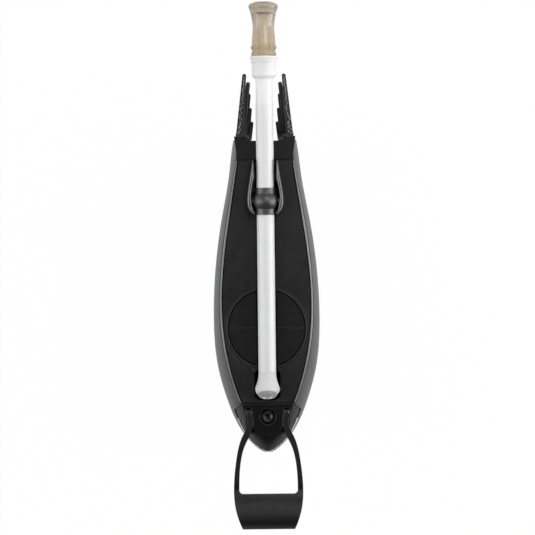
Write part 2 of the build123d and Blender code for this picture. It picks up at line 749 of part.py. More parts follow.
# ---------------------------------------------------------------- nose cap and its screw
with BuildPart() as nose_cap:
    add(hull_loft(0.6))
    split(bisect_by=Plane.XY.offset(DECK_Z), keep=Keep.TOP)
    split(bisect_by=Plane.XY.offset(CAP_TOP), keep=Keep.BOTTOM)
    with BuildSketch(Plane.XY.offset(DECK_Z)):
        add(seam_outline(SLIM))
    extrude(amount=TALL, mode=Mode.INTERSECT)
    with BuildSketch(Plane.XY.offset(STRAP_Z - STRAP_T / 2 - 0.3)):
        add(strap_outline(CHANNEL))
    extrude(amount=TALL, mode=Mode.SUBTRACT)
    with BuildSketch(Plane.XY.offset(RECESS_FLOOR)):
        with Locations((0, CAP_Y)):
            Circle(RECESS_R)
    extrude(amount=TALL, mode=Mode.SUBTRACT)
    with BuildSketch(Plane.XY.offset(DECK_Z)):
        with Locations((0, CAP_Y)):
            Circle(SHANK_R + 0.2)
    extrude(amount=RECESS_FLOOR - DECK_Z, mode=Mode.SUBTRACT)
    with BuildSketch(Plane(origin=(0, STRAP_PIN_Y, STRAP_Z), x_dir=(0, 1, 0), z_dir=(1, 0, 0))):
        Circle(STRAP_PIN_R)
    extrude(amount=STRAP_PIN_OUT, both=True, mode=Mode.SUBTRACT)
save(nose_cap.part, "nose_cap")

with BuildPart() as cap_insert:
    with BuildSketch(Plane.XY.offset(DECK_Z)):
        with Locations((0, CAP_Y)):
            Circle(INSERT_R)
            Circle(SHANK_R, mode=Mode.SUBTRACT)
    extrude(amount=-INSERT_L)
save(cap_insert.part, "cap_insert")

with BuildPart() as cap_screw_washer:
    with BuildSketch(Plane.XY.offset(RECESS_FLOOR)):
        with Locations((0, CAP_Y)):
            Circle(RECESS_R - 0.4)
            Circle(SHANK_R + 0.1, mode=Mode.SUBTRACT)
    extrude(amount=WASHER_H)
save(cap_screw_washer.part, "cap_screw_washer")

with BuildPart() as cap_screw:
    with BuildSketch(Plane.XY.offset(RECESS_FLOOR + WASHER_H)):
        with Locations((0, CAP_Y)):
            Circle(HEAD_R)
    extrude(amount=HEAD_H)
    chamfer(cap_screw.faces().sort_by(Axis.Z)[-1].edges(), length=0.3)
    with BuildSketch(Plane.XY.offset(RECESS_FLOOR + WASHER_H + HEAD_H)):
        with Locations((0, CAP_Y)):
            RegularPolygon(radius=HEX / 2, side_count=6, major_radius=False)
    extrude(amount=-HEX_DEPTH, mode=Mode.SUBTRACT)
    with BuildSketch(Plane.XY.offset(RECESS_FLOOR + WASHER_H)):
        with Locations((0, CAP_Y)):
            Circle(SHANK_R)
    extrude(amount=-(RECESS_FLOOR + WASHER_H - DECK_Z + INSERT_L - 1.0))
save(cap_screw.part, "cap_screw")

# ---------------------------------------------------------------- pull strap and its pins
with BuildPart() as pull_strap:
    strap_top = STRAP_Z + STRAP_T / 2
    strap_low = STRAP_Z - STRAP_T / 2
    strap_root = STRAP_PIN_Y + STRAP_T / 2
    with BuildSketch(Plane.XY.offset(STRAP_Z - TALL / 2)):
        add(strap_outline(0))
    extrude(amount=TALL)
    # side view: straight arms, then a pad that is bowed like a saddle
    with BuildSketch(Plane.YZ.offset(-TALL / 2)):
        with BuildLine():
            ThreePointArc((STRAP_PIN_Y, strap_low), (strap_root, STRAP_Z), (STRAP_PIN_Y, strap_top))
            front = GRIP_Y + 3
            behind = STRAP_END + 2.2
            back_top = strap_top - GRIP_DROP
            back_low = back_top - 2.6
            Line((STRAP_PIN_Y, strap_top), (front, strap_top))
            ThreePointArc((front, strap_top), (GRIP_CREST_Y, strap_top + GRIP_RISE), (STRAP_END, back_top))
            Line((STRAP_END, back_top), (behind, back_low))
            ThreePointArc((behind, back_low), (GRIP_CREST_Y, strap_top - 1.6), (front - 2.5, strap_low))
            Line((front - 2.5, strap_low), (STRAP_PIN_Y, strap_low))
        make_face()
    extrude(amount=TALL, mode=Mode.INTERSECT)
    with BuildSketch(Plane(origin=(0, STRAP_PIN_Y, STRAP_Z), x_dir=(0, 1, 0), z_dir=(1, 0, 0))):
        Circle(STRAP_PIN_R + RUN)
    extrude(amount=TALL / 2, both=True, mode=Mode.SUBTRACT)
save(pull_strap.part, "pull_strap")

with BuildPart() as strap_pins:
    for side in (-1, 1):
        pin_end = (side * STRAP_PIN_IN, STRAP_PIN_Y, STRAP_Z)
        with BuildSketch(Plane(origin=pin_end, x_dir=(0, 1, 0), z_dir=(side, 0, 0))):
            Circle(STRAP_PIN_R)
        extrude(amount=STRAP_PIN_OUT - STRAP_PIN_IN)
save(strap_pins.part, "strap_pins")
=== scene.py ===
"""Streamlined drinks reservoir with a straw that swivels in a ball.

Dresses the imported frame: skins over its solids, trim, finishes, and the stage.
Metres. +Z is up out of the lid, +Y points to the bite valve, +X to the right.
"""
import json
import math

import bmesh
import bpy
from bpy.props import FloatProperty, FloatVectorProperty, IntProperty, PointerProperty
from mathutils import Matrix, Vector


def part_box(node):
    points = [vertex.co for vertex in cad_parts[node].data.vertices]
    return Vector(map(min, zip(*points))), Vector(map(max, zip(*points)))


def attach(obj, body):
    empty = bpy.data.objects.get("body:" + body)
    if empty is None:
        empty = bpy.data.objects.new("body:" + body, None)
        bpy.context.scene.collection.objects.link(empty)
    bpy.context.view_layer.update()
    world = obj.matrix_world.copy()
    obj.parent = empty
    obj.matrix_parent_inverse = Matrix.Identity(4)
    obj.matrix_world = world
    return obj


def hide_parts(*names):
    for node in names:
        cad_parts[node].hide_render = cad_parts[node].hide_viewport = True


bl_info = {
    "name": "Drinks reservoir with swivel straw",
    "version": (1, 0, 0),
    "blender": (4, 5, 0),
    "location": "3D View > Sidebar > Reservoir",
    "description": "Builds the reservoir's skins, trim, finishes and stage on its packed frame",
    "category": "Object",
}

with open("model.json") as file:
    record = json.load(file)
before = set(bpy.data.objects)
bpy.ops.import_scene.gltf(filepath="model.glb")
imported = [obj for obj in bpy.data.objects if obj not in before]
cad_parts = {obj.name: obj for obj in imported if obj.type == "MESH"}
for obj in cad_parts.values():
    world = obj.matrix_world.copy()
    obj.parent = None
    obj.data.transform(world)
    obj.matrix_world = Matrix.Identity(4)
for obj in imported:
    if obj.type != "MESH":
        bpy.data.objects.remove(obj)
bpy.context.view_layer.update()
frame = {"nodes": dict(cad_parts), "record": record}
BODY_OF = {n: b for b, ns in frame["record"]["behaviour"]["bodies"].items() for n in ns}


# ---------------------------------------------------------------- settings
def colour(name, text, default):
    """A plastic's or metal's own colour, as linear light."""
    return FloatVectorProperty(
        name=name, description=text, subtype="COLOR", size=3, min=0, max=1, default=default
    )


def length(name, text, default):
    return FloatProperty(name=name, description=text, unit="LENGTH", precision=5, default=default)


class ReservoirColours(bpy.types.PropertyGroup):
    shell: colour("Shell", "Satin moulding of the hull", (0.038, 0.039, 0.0405))
    lid: colour("Lid", "Fine-grained black of the lid and port", (0.0112, 0.0112, 0.0115))
    collar: colour("Collar", "Matt black of the end collar", (0.0034, 0.0034, 0.0034))
    cap: colour("Cap", "Gloss black of the nose cap", (0.0022, 0.0022, 0.0024))
    ball: colour("Ball", "Gloss dark grey of ball and cradle", (0.020, 0.0205, 0.022))
    fin: colour("Fins", "Black rubber of the combs", (0.0045, 0.0045, 0.0045))
    strap: colour("Strap", "Satin black rubber of strap and foot", (0.0105, 0.0105, 0.0105))
    seal: colour("Seals", "Black seal rubber", (0.010, 0.010, 0.010))
    straw: colour("Straw", "Milky white of the tube and its foot", (0.93, 0.935, 0.93))
    adapter: colour("Adapter", "Frosted clear moulding", (0.985, 0.99, 0.99))
    valve: colour("Valve", "Smoky amber silicone", (0.88, 0.84, 0.76))
    steel: colour("Steel", "Plain steel of screws and pins", (0.56, 0.55, 0.53))
    dark_steel: colour("Dark steel", "Blackened steel of the cap screw", (0.030, 0.030, 0.032))
    brass: colour("Brass", "Threaded insert", (0.62, 0.44, 0.20))


class ReservoirSizes(bpy.types.PropertyGroup):
    bead_rise: length("Rim bead rise", "How far the shell's rim bead stands up", 0.0006)
    bead_share: FloatProperty(
        name="Rim bead share", description="Share of the rim that the bead takes",
        default=0.72, min=0.2, max=1.0, subtype="FACTOR")
    mould_line: length(
        "Moulding line", "Half thickness of a line moulded round the straw's end", 0.00012)
    nose_rim: length("Nose rim", "Width of the shell's bright rim round the nose cap", 0.0008)
    ridge: length("Cradle ridge", "Width of the two ridges on the cradle's walls", 0.00048)
    lip_width: length("Port lip width", "Width of the raised lip round the port", 0.0006)
    lip_rise: length("Port lip rise", "How far that lip stands up", 0.00022)
    pip_radius: length("Pip radius", "Radius of the pips on the top fins", 0.0004)
    pip_rise: length("Pip rise", "How far the pips stand up", 0.0004)
    pip_count: IntProperty(
        name="Pip count", description="Pips along each top fin", default=34, min=4)
    round_edge: length("Edge radius", "Radius that moulded edges look rounded to", 0.00035)


class ReservoirStage(bpy.types.PropertyGroup):
    distance: length("Camera distance", "Camera's height above the lid", 2.2)
    frame_width: length("Frame width", "Width of the view at the lid", 0.34775)
    centre_x: length("Centre X", "Middle of the view, across", 0.0009)
    centre_y: length("Centre Y", "Middle of the view, along", -0.0008)
    roll: FloatProperty(name="Roll", description="Turn of the camera about its axis",
                        subtype="ANGLE", default=math.radians(-0.65))
    horizon: FloatProperty(name="Horizon", description="World light near the horizon", default=1.0)
    zenith: FloatProperty(name="Zenith", description="World light overhead", default=0.10)
    key: FloatProperty(name="Key", description="Power of the key lamp", unit="POWER", default=0.7)
    strips: FloatProperty(
        name="Strips", description="Power of the right side lamp", unit="POWER", default=15.5)
    left_share: FloatProperty(
        name="Left share", description="The left side lamp's power, as a share of the right one's",
        default=0.85, min=0.0, subtype="FACTOR")


def settings():
    scene = bpy.context.scene
    return scene.reservoir_colours, scene.reservoir_sizes, scene.reservoir_stage


# ---------------------------------------------------------------- shader groups
def shader_group(name, inputs, outputs):
    """An empty node group with these sockets: (name, kind, default)."""
    tree = bpy.data.node_groups.new(name, "ShaderNodeTree")
    for label, kind, default in inputs:
        socket = tree.interface.new_socket(label, in_out="INPUT", socket_type=kind)
        if default is not None:
            socket.default_value = default
    for label, kind, default in outputs:
        tree.interface.new_socket(label, in_out="OUTPUT", socket_type=kind)
    return tree, tree.nodes.new("NodeGroupInput"), tree.nodes.new("NodeGroupOutput")


def put(tree, kind, links=(), **values):
    """A node with its properties set; links are (input, source socket or value)."""
    node = tree.nodes.new(kind)
    for key, value in values.items():
        setattr(node, key, value)
    for socket, source in links:
        if isinstance(source, bpy.types.NodeSocket):
            tree.links.new(source, node.inputs[socket])
        else:
            node.inputs[socket].default_value = source
    return node


def edge_wear_and_painted_light_group():
    """Rounds edges in the shading and masks them, for rubbed edges and for painted highlights and
    painted shade on edges.

    Start is the least turn that counts, so that shallow creases stay unmarked.
    """
    tree, gin, gout = shader_group(
        "edge_wear_and_painted_light",
        [("Radius", "NodeSocketFloat", 0.0003), ("Start", "NodeSocketFloat", 0.05),
         ("Width", "NodeSocketFloat", 0.12)],
        [("Mask", "NodeSocketFloat", 0), ("Normal", "NodeSocketVector", None)],
    )
    bevel = put(tree, "ShaderNodeBevel", [("Radius", gin.outputs["Radius"])], samples=6)
    true = put(tree, "ShaderNodeNewGeometry")
    dot = put(tree, "ShaderNodeVectorMath",
              [(0, bevel.outputs[0]), (1, true.outputs["Normal"])], operation="DOT_PRODUCT")
    away = put(tree, "ShaderNodeMath", [(0, 1.0), (1, dot.outputs["Value"])],
               operation="SUBTRACT", use_clamp=True)
    full = put(tree, "ShaderNodeMath", [(0, gin.outputs["Width"]), (1, gin.outputs["Start"])])
    mask = put(tree, "ShaderNodeMapRange",
               [("Value", away.outputs[0]), ("From Min", gin.outputs["Start"]),
                ("From Max", full.outputs[0])])
    tree.links.new(mask.outputs[0], gout.inputs["Mask"])
    tree.links.new(bevel.outputs[0], gout.inputs["Normal"])
    return tree


def grain_group():
    """Spark-eroded grain: pebbles over a finer noise, as a height and a tint mask."""
    tree, gin, gout = shader_group(
        "moulded_grain",
        [("Vector", "NodeSocketVector", None), ("Scale", "NodeSocketFloat", 1800.0),
         ("Pebble", "NodeSocketFloat", 0.5), ("Broad", "NodeSocketFloat", 0.12)],
        [("Height", "NodeSocketFloat", 0), ("Tint", "NodeSocketFloat", 0)],
    )
    noise = put(tree, "ShaderNodeTexNoise",
                [("Vector", gin.outputs["Vector"]), ("Scale", gin.outputs["Scale"]),
                 ("Detail", 3.0), ("Roughness", 0.6)])
    cells = put(tree, "ShaderNodeTexVoronoi",
                [("Vector", gin.outputs["Vector"]), ("Scale", gin.outputs["Scale"])],
                feature="SMOOTH_F1")
    height = put(tree, "ShaderNodeMix",
                 [(0, gin.outputs["Pebble"]), (2, noise.outputs[0]),
                  (3, cells.outputs["Distance"])])
    broad = put(tree, "ShaderNodeMath",
                [(0, gin.outputs["Scale"]), (1, gin.outputs["Broad"])], operation="MULTIPLY")
    cloud = put(tree, "ShaderNodeTexNoise",
                [("Vector", gin.outputs["Vector"]), ("Scale", broad.outputs[0]), ("Detail", 4.0)])
    tint = put(tree, "ShaderNodeMix", [(0, 0.5), (2, cloud.outputs[0]), (3, height.outputs[0])])
    tree.links.new(height.outputs[0], gout.inputs["Height"])
    tree.links.new(tint.outputs[0], gout.inputs["Tint"])
    return tree


def streak_group():
    """Long flow marks and fine handling marks, stretched along Y."""
    tree, gin, gout = shader_group(
        "flow_streaks",
        [("Vector", "NodeSocketVector", None), ("Across", "NodeSocketFloat", 900.0),
         ("Along", "NodeSocketFloat", 14.0)],
        [("Mask", "NodeSocketFloat", 0)],
    )
    scale = put(tree, "ShaderNodeCombineXYZ",
                [(0, gin.outputs["Across"]), (1, gin.outputs["Along"]), (2, gin.outputs["Across"])])
    spread = put(tree, "ShaderNodeVectorMath",
                 [(0, gin.outputs["Vector"]), (1, scale.outputs[0])], operation="MULTIPLY")
    lines = put(tree, "ShaderNodeTexNoise",
                [("Vector", spread.outputs[0]), ("Scale", 1.0), ("Detail", 3.0),
                 ("Roughness", 0.55)])
    sharp = put(tree, "ShaderNodeMapRange",
                [("Value", lines.outputs[0]), ("From Min", 0.42), ("From Max", 0.66)])
    tree.links.new(sharp.outputs[0], gout.inputs["Mask"])
    return tree


GROUP_MAKERS = {"edge_wear_and_painted_light": edge_wear_and_painted_light_group, "moulded_grain": grain_group,
                "flow_streaks": streak_group}
GROUPS = {}


def group_node(tree, name, links):
    """A node of one of the shared groups, which is built when it is first asked for."""
    if name not in GROUPS:
        GROUPS[name] = GROUP_MAKERS[name]()
    return put(tree, "ShaderNodeGroup", links, node_tree=GROUPS[name])


# ---------------------------------------------------------------- finishes
COLOUR_SPAN = (0.2, 0.8)  # the part of the grain's tint that a colour ramp follows
ROUGH_SPAN = (0.25, 0.75)  # the part that the roughness follows


def rgba(shade, gain=1.0):
    return [min(1, c * gain) for c in shade] + [1]


def tinted(tree, mask, one, two, kind="MIX"):
    """The second colour laid over the first by a mask."""
    return put(tree, "ShaderNodeMix", [(0, mask), (6, one), (7, two)],
               data_type="RGBA", blend_type=kind).outputs[2]


def spanned(tree, mask, span, low, high):
    """A mask's span turned into values from low to high."""
    return put(tree, "ShaderNodeMapRange",
               [("Value", mask), ("From Min", span[0]), ("From Max", span[1]),
                ("To Min", low), ("To Max", high)]).outputs[0]


def ramp_along(tree, place, stops):
    """A colour ramp of (y, colour) along the object."""
    parts = put(tree, "ShaderNodeSeparateXYZ", [(0, place)])
    start, end = stops[0][0], stops[-1][0]
    along = put(tree, "ShaderNodeMapRange",
                [("Value", parts.outputs["Y"]), ("From Min", start), ("From Max", end)])
    ramp = put(tree, "ShaderNodeValToRGB", [(0, along.outputs[0])])
    elements = ramp.color_ramp.elements
    while len(elements) < len(stops):
        elements.new(0.5)
    # every place is set before any colour, because a moved stop may change its number
    for element, (y, _) in zip(elements, stops):
        element.position = (y - start) / (end - start)
    for element, (_, shade) in zip(elements, stops):
        element.color = rgba(shade)
    return ramp.outputs[0]


def finish(name, base, rough, *, vary=0.25, rough_vary=0.08, grain=1800.0, pebble=0.5,
           bump=0.00002, streaks=(900.0, 14.0), streak=0.15, edge=0.00035, edge_gain=2.0,
           constants=(), tint=None, by_y=()):
    """A moulded or machined finish on Object coordinates.

    vary and streak are shares of the colour, grain and streaks are per metre. tint is the edges'
    colour where it is given, a painted highlight or painted shade; otherwise edges are the base
    times edge_gain, rubbed paler. by_y is a ramp of (y, colour).
    """
    material = bpy.data.materials.new(name)
    material.use_nodes = True
    tree = material.node_tree
    shader = tree.nodes["Principled BSDF"]
    place = put(tree, "ShaderNodeTexCoord").outputs["Object"]
    grit = group_node(tree, "moulded_grain",
                      [("Vector", place), ("Scale", grain), ("Pebble", pebble)])
    flow = group_node(tree, "flow_streaks",
                      [("Vector", place), ("Across", streaks[0]), ("Along", streaks[1])])
    grit_tint = grit.outputs["Tint"]
    base = tuple(base)
    if by_y:
        shade = put(tree, "ShaderNodeHueSaturation", [("Color", ramp_along(tree, place, by_y))])
        level = spanned(tree, grit_tint, COLOUR_SPAN, 1 - vary, 1 + vary)
        tree.links.new(level, shade.inputs["Value"])
        body = shade.outputs[0]
    else:
        body = tinted(tree, grit_tint, rgba(base, 1 - vary), rgba(base, 1 + vary))
    if streak:
        under, kind = ((1, 1, 1), "MULTIPLY") if by_y else (base, "MIX")
        body = tinted(tree, flow.outputs["Mask"], body, rgba(under, 1 - streak), kind)
    relief = put(tree, "ShaderNodeBump",
                 [("Strength", 1.0), ("Distance", bump), ("Height", grit.outputs["Height"])])
    if edge:
        # edges take tint where it is given, as a painted highlight or painted shade, and otherwise
        # a paler rubbed colour
        edges_rubbed_and_painted = group_node(tree, "edge_wear_and_painted_light", [("Radius", edge)])
        pale = tint or [min(1, c * edge_gain + 0.01) for c in base]
        body = tinted(tree, edges_rubbed_and_painted.outputs["Mask"], body, rgba(pale))
        tree.links.new(edges_rubbed_and_painted.outputs["Normal"], relief.inputs["Normal"])
    tree.links.new(body, shader.inputs["Base Color"])
    level = spanned(tree, grit_tint, ROUGH_SPAN, rough - rough_vary, rough + rough_vary)
    tree.links.new(level, shader.inputs["Roughness"])
    tree.links.new(relief.outputs[0], shader.inputs["Normal"])
    for socket, value in constants:
        shader.inputs[socket].default_value = value
    return material


# ---------------------------------------------------------------- pieces
def dress(obj, material, body):
    """Finish and body of a new piece whose place is in its mesh."""
    obj.data.materials.clear()
    obj.data.materials.append(material)
    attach(obj, body)
    return obj


def new_piece(name, mesh):
    obj = bpy.data.objects.new(name, mesh)
    bpy.context.scene.collection.objects.link(obj)
    return obj


def skin(node, material, angle=28.0):
    """A merged, smooth-shaded copy of a CAD node that stands for it."""
    weld, sliver = 2e-6, 1e-7
    mesh = frame["nodes"][node].data.copy()
    work = bmesh.new()
    work.from_mesh(mesh)
    bmesh.ops.remove_doubles(work, verts=work.verts, dist=weld)
    bmesh.ops.dissolve_degenerate(work, edges=work.edges, dist=sliver)
    work.to_mesh(mesh)
    work.free()
    mesh.shade_smooth()
    mesh.set_sharp_from_angle(angle=math.radians(angle))
    obj = new_piece(f"{node}_skin", mesh)
    weigh = obj.modifiers.new("weigh_normals", "WEIGHTED_NORMAL")
    weigh.keep_sharp = True
    weigh.weight = 90
    dress(obj, material, BODY_OF[node])
    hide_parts(node)
    return obj


def flat_edges(node, z):
    """The node's edges that lie flat at height z, seen from above."""
    level = 2e-5
    mesh = frame["nodes"][node].data
    points = [v.co for v in mesh.vertices]
    pairs = ([points[i] for i in edge.vertices] for edge in mesh.edges)
    return [(a.xy, b.xy) for a, b in pairs if max(abs(a.z - z), abs(b.z - z)) < level]


def evenly(start, end, steps):
    return [start + (end - start) * k / steps for k in range(steps + 1)]


def spans(edges, centre, angle=0.0):
    """Distances from centre at which a ray at this angle crosses the edges."""
    ray = Vector((math.cos(angle), math.sin(angle)))
    side = Vector((-ray.y, ray.x))
    found = set()
    for a, b in edges:
        over, under = (a - centre).dot(side), (b - centre).dot(side)
        if over * under < 0:
            far = (a.lerp(b, over / (over - under)) - centre).dot(ray)
            if far > 0:
                found.add(round(far, 6))
    return sorted(found)


def bead(name, stations, rise, peak=0.5, sink=0.0003):
    """A low rounded strip over stations of (inner point, outer point, share of the rise).

    peak is where across the strip it is highest, and sink how far its foot is buried.
    """
    rings = []
    for inner, outer, share in stations:
        ring = []
        for t in evenly(0, 1, 10):
            bend = t / peak if t < peak else (1 - t) / (1 - peak)
            lift = rise * share * math.sin(math.pi / 2 * bend)
            ring.append(inner.lerp(outer, t) + Vector((0, 0, lift)))
        ring += [outer - Vector((0, 0, sink)), inner - Vector((0, 0, sink))]
        rings.append(ring)
    return swept(name, rings)


def swept(name, rings):
    """A closed mesh through rings of equal length."""
    crease = 50
    work = bmesh.new()
    loops = [[work.verts.new(p) for p in ring] for ring in rings]
    count = len(rings[0])
    for one, two in zip(loops, loops[1:]):
        for i in range(count):
            j = (i + 1) % count
            work.faces.new((one[i], one[j], two[j], two[i]))
    work.faces.new(loops[0][::-1])
    work.faces.new(loops[-1])
    bmesh.ops.recalc_face_normals(work, faces=work.faces)
    mesh = bpy.data.meshes.new(name)
    work.to_mesh(mesh)
    work.free()
    mesh.shade_smooth()
    mesh.set_sharp_from_angle(angle=math.radians(crease))
    return new_piece(name, mesh)


# ---------------------------------------------------------------- geometry node trees
def geometry_tree(name, inputs):
    """An empty geometry node tree with these input sockets: (name, kind, default)."""
    tree = bpy.data.node_groups.new(name, "GeometryNodeTree")
    for label, kind, default in inputs:
        socket = tree.interface.new_socket(label, in_out="INPUT", socket_type=kind)
        if default is not None:
            socket.default_value = default
    tree.interface.new_socket("Geometry", in_out="OUTPUT", socket_type="NodeSocketGeometry")
    return tree, tree.nodes.new("NodeGroupInput"), tree.nodes.new("NodeGroupOutput")


def grown(name, tree, values):
    """The plain mesh that a geometry node tree makes with these input values."""
    host = new_piece(name, bpy.data.meshes.new(name))
    modifier = host.modifiers.new("grow", "NODES")
    modifier.node_group = tree
    for item in tree.interface.items_tree:
        if item.in_out == "INPUT" and item.name in values:
            modifier[item.identifier] = values[item.name]
    graph = bpy.context.evaluated_depsgraph_get()
    mesh = bpy.data.meshes.new_from_object(host.evaluated_get(graph))
    host.modifiers.remove(modifier)
    host.data = mesh
    return host


def finish_tree(tree, gin, gout, geometry):
    """Ends a tree in Realize Instances and Set Material."""
    real = put(tree, "GeometryNodeRealizeInstances", [(0, geometry)])
    paint = put(tree, "GeometryNodeSetMaterial",
                [("Geometry", real.outputs[0]), ("Material", gin.outputs["Material"])])
    tree.links.new(paint.outputs[0], gout.inputs[0])
    return tree


def pip_tree():
    """Pips in a staggered, slightly uneven row along a line, each a low long dome."""
    jitter, smallest, largest, stretch = 0.0004, 0.7, 1.3, 1.8
    tree, gin, gout = geometry_tree("fin_pips", [
        ("Start", "NodeSocketVector", None), ("End", "NodeSocketVector", None),
        ("Count", "NodeSocketInt", 34), ("Spread Start", "NodeSocketFloat", 0.0012),
        ("Spread End", "NodeSocketFloat", 0.0006), ("Radius", "NodeSocketFloat", 0.0003),
        ("Rise", "NodeSocketFloat", 0.0003), ("Seed", "NodeSocketInt", 3),
        ("Material", "NodeSocketMaterial", None)])
    line = put(tree, "GeometryNodeCurvePrimitiveLine",
               [("Start", gin.outputs["Start"]), ("End", gin.outputs["End"])])
    points = put(tree, "GeometryNodeCurveToPoints",
                 [("Curve", line.outputs[0]), ("Count", gin.outputs["Count"])])
    index = put(tree, "GeometryNodeInputIndex")
    share = put(tree, "ShaderNodeMath", [(0, index.outputs[0]), (1, gin.outputs["Count"])],
                operation="DIVIDE")
    spread = put(tree, "ShaderNodeMix",
                 [(0, share.outputs[0]), (2, gin.outputs["Spread Start"]),
                  (3, gin.outputs["Spread End"])])
    back = put(tree, "ShaderNodeMath", [(0, spread.outputs[0]), (1, -1.0)], operation="MULTIPLY")
    across = put(tree, "FunctionNodeRandomValue",
                 [(2, back.outputs[0]), (3, spread.outputs[0]), ("Seed", gin.outputs["Seed"])],
                 data_type="FLOAT")
    along = put(tree, "FunctionNodeRandomValue",
                [(2, -jitter), (3, jitter), ("Seed", 11)], data_type="FLOAT")
    offset = put(tree, "ShaderNodeCombineXYZ", [(0, across.outputs[1]), (1, along.outputs[1])])
    moved = put(tree, "GeometryNodeSetPosition",
                [("Geometry", points.outputs[0]), ("Offset", offset.outputs[0])])
    dome = put(tree, "GeometryNodeMeshUVSphere",
               [("Segments", 8), ("Rings", 4), ("Radius", gin.outputs["Radius"])])
    flat = put(tree, "ShaderNodeMath",
               [(0, gin.outputs["Rise"]), (1, gin.outputs["Radius"])], operation="DIVIDE")
    size = put(tree, "FunctionNodeRandomValue",
               [(2, smallest), (3, largest), ("Seed", 5)], data_type="FLOAT")
    long = put(tree, "ShaderNodeMath", [(0, size.outputs[1]), (1, stretch)],
               operation="MULTIPLY")
    scale = put(tree, "ShaderNodeCombineXYZ",
                [(0, size.outputs[1]), (1, long.outputs[0]), (2, flat.outputs[0])])
    studs = put(tree, "GeometryNodeInstanceOnPoints",
                [("Points", moved.outputs[0]), ("Instance", dome.outputs[0]),
                 ("Scale", scale.outputs[0])])
    return finish_tree(tree, gin, gout, studs.outputs[0])


def lip_tree():
    """A raised lip on two arcs of a circle, left and right of a slot.

    Gap is the angle that each end of an arc keeps from the slot's middle.
    """
    tree, gin, gout = geometry_tree("port_lip", [
        ("Centre", "NodeSocketVector", None), ("Radius", "NodeSocketFloat", 0.025),
        ("Width", "NodeSocketFloat", 0.0009), ("Rise", "NodeSocketFloat", 0.0003),
        ("Gap", "NodeSocketFloat", 0.26), ("Material", "NodeSocketMaterial", None)])
    sweep = put(tree, "ShaderNodeMath",
                [(0, gin.outputs["Gap"]), (1, -2.0), (2, math.pi)], operation="MULTIPLY_ADD")
    half = put(tree, "ShaderNodeMath", [(0, sweep.outputs[0]), (1, -0.5)], operation="MULTIPLY")
    arc = put(tree, "GeometryNodeCurveArc",
              [("Resolution", 96), ("Radius", gin.outputs["Radius"]),
               ("Start Angle", half.outputs[0]), ("Sweep Angle", sweep.outputs[0])])
    profile = put(tree, "GeometryNodeCurvePrimitiveCircle", [("Resolution", 12), ("Radius", 1.0)])
    wide = put(tree, "ShaderNodeMath", [(0, gin.outputs["Width"]), (1, 0.5)], operation="MULTIPLY")
    shape = put(tree, "ShaderNodeCombineXYZ",
                [(0, wide.outputs[0]), (1, gin.outputs["Rise"]), (2, 1.0)])
    profile = put(tree, "GeometryNodeTransform",
                  [("Geometry", profile.outputs[0]), ("Scale", shape.outputs[0])])
    tube = put(tree, "GeometryNodeCurveToMesh",
               [("Curve", arc.outputs[0]), ("Profile Curve", profile.outputs[0]),
                ("Fill Caps", True)])
    turned = put(tree, "GeometryNodeTransform",
                 [("Geometry", tube.outputs[0]), ("Rotation", (0, 0, math.pi))])
    both = put(tree, "GeometryNodeJoinGeometry")
    tree.links.new(tube.outputs[0], both.inputs[0])
    tree.links.new(turned.outputs[0], both.inputs[0])
    placed = put(tree, "GeometryNodeTransform",
                 [("Geometry", both.outputs[0]), ("Translation", gin.outputs["Centre"])])
    return finish_tree(tree, gin, gout, placed.outputs[0])


def ring_tree():
    """A thin round moulding line about the straw's axis."""
    tree, gin, gout = geometry_tree("mould_line", [
        ("Centre", "NodeSocketVector", None), ("Radius", "NodeSocketFloat", 0.008),
        ("Thickness", "NodeSocketFloat", 0.00012), ("Material", "NodeSocketMaterial", None)])
    circle = put(tree, "GeometryNodeCurvePrimitiveCircle",
                 [("Resolution", 96), ("Radius", gin.outputs["Radius"])])
    profile = put(tree, "GeometryNodeCurvePrimitiveCircle",
                  [("Resolution", 8), ("Radius", gin.outputs["Thickness"])])
    tube = put(tree, "GeometryNodeCurveToMesh",
               [("Curve", circle.outputs[0]), ("Profile Curve", profile.outputs[0])])
    placed = put(tree, "GeometryNodeTransform",
                 [("Geometry", tube.outputs[0]), ("Rotation", (math.pi / 2, 0, 0)),
                  ("Translation", gin.outputs["Centre"])])
    return finish_tree(tree, gin, gout, placed.outputs[0])


